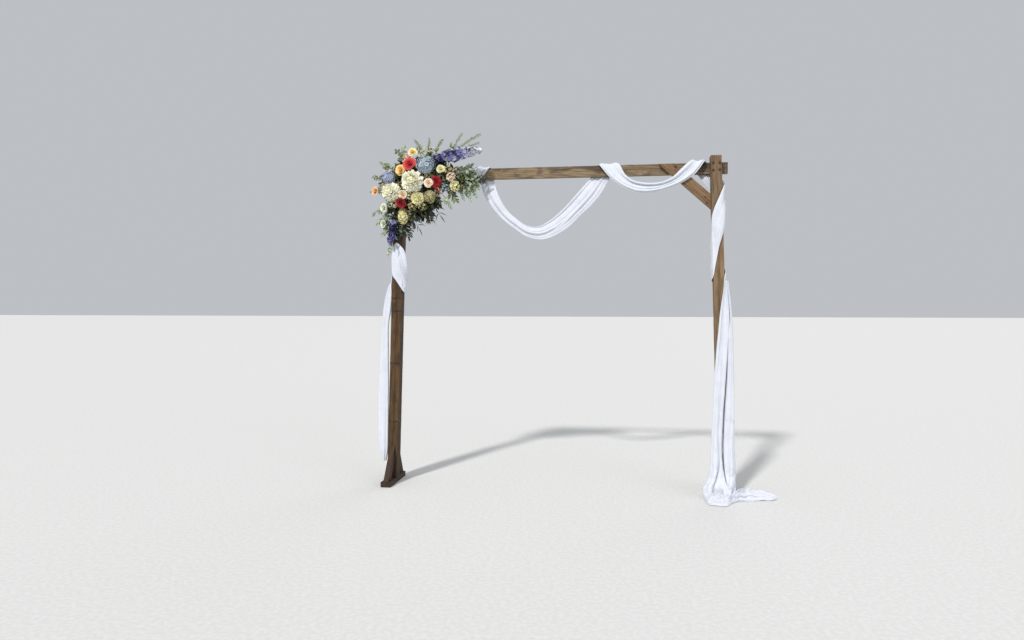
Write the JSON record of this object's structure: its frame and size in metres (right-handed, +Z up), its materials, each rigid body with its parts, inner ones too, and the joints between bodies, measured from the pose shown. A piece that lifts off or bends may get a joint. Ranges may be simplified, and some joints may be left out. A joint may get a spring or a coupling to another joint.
{
  "type": "wedding arch",
  "caption": "Freestanding timber wedding arch on braced feet, with knee braces, a bolted top beam, sheer swagged drapes and a flower arrangement on one upper corner.",
  "frame": {"origin": "on the ground, in the middle of the whole object's extents in X and Y", "axes": "+X along the arch from the post with the flowers to the post with the train, +Y from the front to the back, +Z up"},
  "size_m": [2.916, 0.565, 2.62],
  "materials": {
    "timber_pale": "weathered bare softwood, mid brown",
    "timber_dark": "walnut stained softwood, worn",
    "timber_foot": "stained softwood, greyed",
    "tie": "dark cable tie",
    "drape": "sheer white chiffon",
    "greenery": "cut leaves and stems",
    "petal_white": "petals",
    "petal_cream": "petals",
    "petal_yellow": "petals",
    "petal_peach": "petals",
    "petal_blush": "petals",
    "petal_red": "petals",
    "petal_wine": "petals",
    "petal_blue": "petals",
    "petal_violet": "petals"
  },
  "bodies": {
    "root": {"left_post_outer_board": "timber_dark", "left_post_inner_board": "timber_dark", "right_post_outer_board": "timber_pale", "right_post_inner_board": "timber_pale", "top_beam": "timber_pale", "left_knee_brace": "timber_pale", "right_knee_brace": "timber_pale", "left_foot": "timber_foot", "left_foot_brace_front": "timber_foot", "left_foot_brace_back": "timber_foot", "right_foot": "timber_foot", "right_foot_brace_front": "timber_foot", "right_foot_brace_back": "timber_foot", "left_post_tie_1": "tie", "left_post_tie_2": "tie", "left_post_tie_3": "tie", "left_post_tie_4": "tie", "beam_left_wrap": "drape", "beam_middle_wrap": "drape", "beam_right_wrap": "drape", "large_swag": "drape", "small_swag": "drape", "right_back_drape": "drape", "right_post_wrap": "drape", "right_lower_drape": "drape", "drape_pool": "drape", "left_post_wrap": "drape", "left_side_drape": "drape", "greenery_corner": "greenery", "greenery_beam": "greenery", "greenery_post": "greenery", "hydrangea_white": "petal_white", "hydrangea_blue": "petal_blue", "mum_large": "petal_cream", "mum_left": "petal_cream", "mum_low": "petal_white", "rose_yellow": "petal_yellow", "rose_red": "petal_red", "rose_peach": "petal_peach", "rose_blush": "petal_blush", "rose_cream": "petal_cream", "rose_wine": "petal_wine", "stock_yellow": "petal_yellow", "stock_cream": "petal_cream", "delphinium_beam": "petal_violet", "delphinium_post": "petal_violet"}
  },
  "joints": []
}
